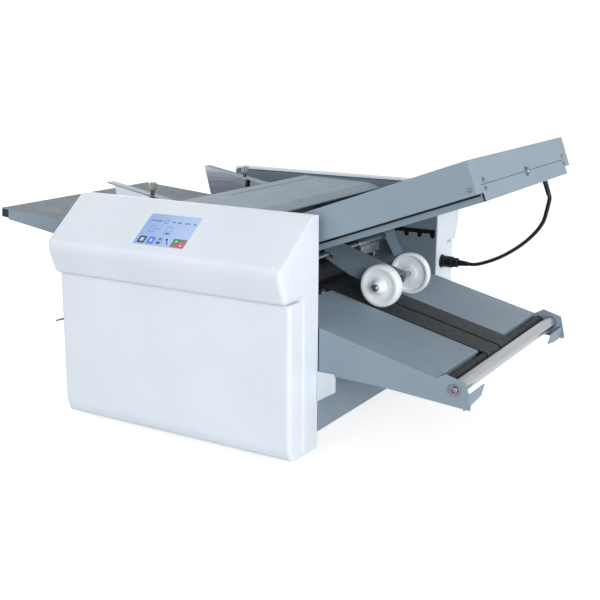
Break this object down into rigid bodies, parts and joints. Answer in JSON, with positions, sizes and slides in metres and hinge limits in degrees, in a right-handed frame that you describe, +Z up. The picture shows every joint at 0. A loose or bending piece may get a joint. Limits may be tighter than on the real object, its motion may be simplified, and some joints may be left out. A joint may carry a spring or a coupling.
{
  "type": "paper folding machine",
  "caption": "Table-top paper folding machine with a slanted infeed table, notched side plates, fold plates, white side covers, a touchscreen and a belt conveyor with press wheels.",
  "frame": {"origin": "on the ground under the middle of the machine, measured without the free lead, its plug and its gland", "axes": "+X the way the folded sheets travel, from the infeed table to the conveyor, -Y the operator's side with the touchscreen, +Z up"},
  "size_m": [0.7462, 0.525, 0.378],
  "materials": {
    "white_cover": "satin white paint, slightly blue",
    "screen": "flat touchscreen, blue picture",
    "grey_frame": "satin dark grey paint",
    "grey_plate": "satin blue-grey paint",
    "infeed_grey": "satin grey paint",
    "foot_rubber": "matt black",
    "roller_rubber": "matt black",
    "belt_rubber": "matt black woven back",
    "black_plastic": "satin black",
    "white_plastic": "satin white",
    "bare_steel": "ground",
    "polished_sheet": "polished stainless sheet",
    "nickel": "nickel plated, knurled",
    "zinc_steel": "zinc plated",
    "cord_jacket": "satin black jacket"
  },
  "bodies": {
    "chassis": {"front_cover": "white_cover", "front_door": "white_cover", "touchscreen": "screen", "rear_cover": "white_cover", "rear_door": "white_cover", "front_side_plate": "grey_frame", "rear_side_plate": "grey_frame", "base_pan": "grey_frame", "electronics_box": "grey_frame", "foot_front_left": "foot_rubber", "foot_front_right": "foot_rubber", "foot_rear_left": "foot_rubber", "foot_rear_right": "foot_rubber", "lid_rod": "bare_steel", "infeed_table": "infeed_grey", "infeed_end_strip": "black_plastic", "separator_pad": "roller_rubber", "main_motor": "zinc_steel", "drive_belt": "roller_rubber", "plate1_cover": "grey_plate", "plate1_tray": "grey_plate", "plate1_guide": "grey_frame", "plate2_tray": "grey_plate", "plate2_guide": "grey_frame", "conveyor_frame": "grey_plate", "conveyor_belt_front": "belt_rubber", "conveyor_belt_rear": "belt_rubber", "conveyor_tip_axle": "zinc_steel", "arm_shaft": "zinc_steel", "shaft_collar": "bare_steel", "sheet_deflector": "zinc_steel", "conveyor_rest": "white_plastic", "socket": "black_plastic", "power_inlet": "black_plastic", "plug": "black_plastic", "cord_gland": "black_plastic", "cord": "cord_jacket"},
    "lid": {"top_lid": "grey_plate"},
    "front_guide": {"guide_front": "polished_sheet"},
    "rear_guide": {"guide_rear": "polished_sheet"},
    "front_knob": {"knob_front": "nickel"},
    "rear_knob": {"knob_rear": "nickel"},
    "feed": {"feed_roller": "roller_rubber"},
    "roller_1": {"fold_roller_1": "roller_rubber"},
    "roller_2": {"fold_roller_2": "roller_rubber"},
    "roller_3": {"fold_roller_3": "roller_rubber"},
    "roller_4": {"fold_roller_4": "roller_rubber"},
    "motor": {"motor_pulley": "zinc_steel"},
    "stop_1": {"plate1_stop": "bare_steel"},
    "screw_1": {"plate1_screw": "bare_steel"},
    "stop_2": {"plate2_stop": "bare_steel"},
    "drive_roller": {"conveyor_drive_roller": "zinc_steel"},
    "end_roller": {"conveyor_end_roller": "roller_rubber"},
    "tip_roller": {"conveyor_tip_roller": "bare_steel"},
    "arm": {"wheel_arm": "grey_frame", "wheel_axle": "zinc_steel"},
    "front_wheel": {"wheel_front": "white_plastic"},
    "rear_wheel": {"wheel_rear": "white_plastic"},
    "switch": {"power_switch": "black_plastic"}
  },
  "joints": [
    {"name": "lid_hinge", "type": "hinge", "parent": "chassis", "child": "lid", "pos_m": [-0.05035, 0, 0.2917], "axis": [0, -1, 0], "range_deg": [0, 75]},
    {"name": "front_guide_slide", "type": "slide", "parent": "chassis", "child": "front_guide", "axis": [0, -1, 0], "range_m": [-0.06, 0.044]},
    {"name": "rear_guide_slide", "type": "slide", "parent": "chassis", "child": "rear_guide", "axis": [0, 1, 0], "range_m": [-0.06, 0.044]},
    {"name": "front_knob_turn", "type": "hinge", "parent": "front_guide", "child": "front_knob", "pos_m": [-0.13504, -0.114, 0.2469], "axis": [0.0767, 0, 0.9971], "range_deg": [0, 360]},
    {"name": "rear_knob_turn", "type": "hinge", "parent": "rear_guide", "child": "rear_knob", "pos_m": [-0.13504, 0.114, 0.2469], "axis": [0.0767, 0, 0.9971], "range_deg": [0, 360]},
    {"name": "feed_spin", "type": "hinge", "parent": "chassis", "child": "feed", "pos_m": [-0.03999, 0, 0.25693], "axis": [0, 1, 0], "continuous": true},
    {"name": "roller_1_spin", "type": "hinge", "parent": "chassis", "child": "roller_1", "pos_m": [0.04045, 0, 0.2428], "axis": [0, 1, 0], "continuous": true},
    {"name": "roller_2_spin", "type": "hinge", "parent": "chassis", "child": "roller_2", "pos_m": [0.05082, 0, 0.21433], "axis": [0, 1, 0], "continuous": true},
    {"name": "roller_3_spin", "type": "hinge", "parent": "chassis", "child": "roller_3", "pos_m": [0.06118, 0, 0.18585], "axis": [0, 1, 0], "continuous": true},
    {"name": "roller_4_spin", "type": "hinge", "parent": "chassis", "child": "roller_4", "pos_m": [0.07154, 0, 0.15738], "axis": [0, 1, 0], "continuous": true},
    {"name": "motor_spin", "type": "hinge", "parent": "chassis", "child": "motor", "pos_m": [-0.07935, 0, 0.083], "axis": [0, 1, 0], "continuous": true},
    {"name": "stop_1_slide", "type": "slide", "parent": "chassis", "child": "stop_1", "axis": [0.9388, 0, 0.3445], "range_m": [-0.08, 0.08]},
    {"name": "screw_1_turn", "type": "hinge", "parent": "chassis", "child": "screw_1", "pos_m": [0.35804, 0, 0.35922], "axis": [0.9388, 0, 0.3445], "range_deg": [-1500, 1500]},
    {"name": "stop_2_slide", "type": "slide", "parent": "chassis", "child": "stop_2", "axis": [0.9588, 0, 0.284], "range_m": [-0.09, 0.09]},
    {"name": "drive_roller_spin", "type": "hinge", "parent": "chassis", "child": "drive_roller", "pos_m": [0.10284, 0, 0.17259], "axis": [0, 1, 0], "continuous": true},
    {"name": "end_roller_spin", "type": "hinge", "parent": "chassis", "child": "end_roller", "pos_m": [0.33339, 0, 0.11682], "axis": [0, 1, 0], "continuous": true},
    {"name": "tip_roller_spin", "type": "hinge", "parent": "chassis", "child": "tip_roller", "pos_m": [0.35069, 0, 0.11603], "axis": [0, 1, 0], "continuous": true},
    {"name": "arm_hinge", "type": "hinge", "parent": "chassis", "child": "arm", "pos_m": [0.09935, 0, 0.2216], "axis": [0, -1, 0], "range_deg": [0, 26]},
    {"name": "front_wheel_spin", "type": "hinge", "parent": "arm", "child": "front_wheel", "pos_m": [0.18535, 0, 0.1907], "axis": [0, 1, 0], "continuous": true},
    {"name": "rear_wheel_spin", "type": "hinge", "parent": "arm", "child": "rear_wheel", "pos_m": [0.18535, 0, 0.1907], "axis": [0, 1, 0], "continuous": true},
    {"name": "switch_rock", "type": "hinge", "parent": "chassis", "child": "switch", "pos_m": [-0.19165, 0.0955, 0.057], "axis": [0, -1, 0], "range_deg": [0, 16]}
  ],
  "couplings": [
    {"joint": "roller_2_spin", "follows": "roller_1_spin", "ratio": -1},
    {"joint": "roller_3_spin", "follows": "roller_1_spin", "ratio": 1},
    {"joint": "roller_4_spin", "follows": "roller_1_spin", "ratio": -1},
    {"joint": "motor_spin", "follows": "roller_1_spin", "ratio": -2},
    {"joint": "screw_1_turn", "follows": "stop_1_slide", "rad_per_m": 314.16},
    {"joint": "end_roller_spin", "follows": "drive_roller_spin", "ratio": 1}
  ]
}
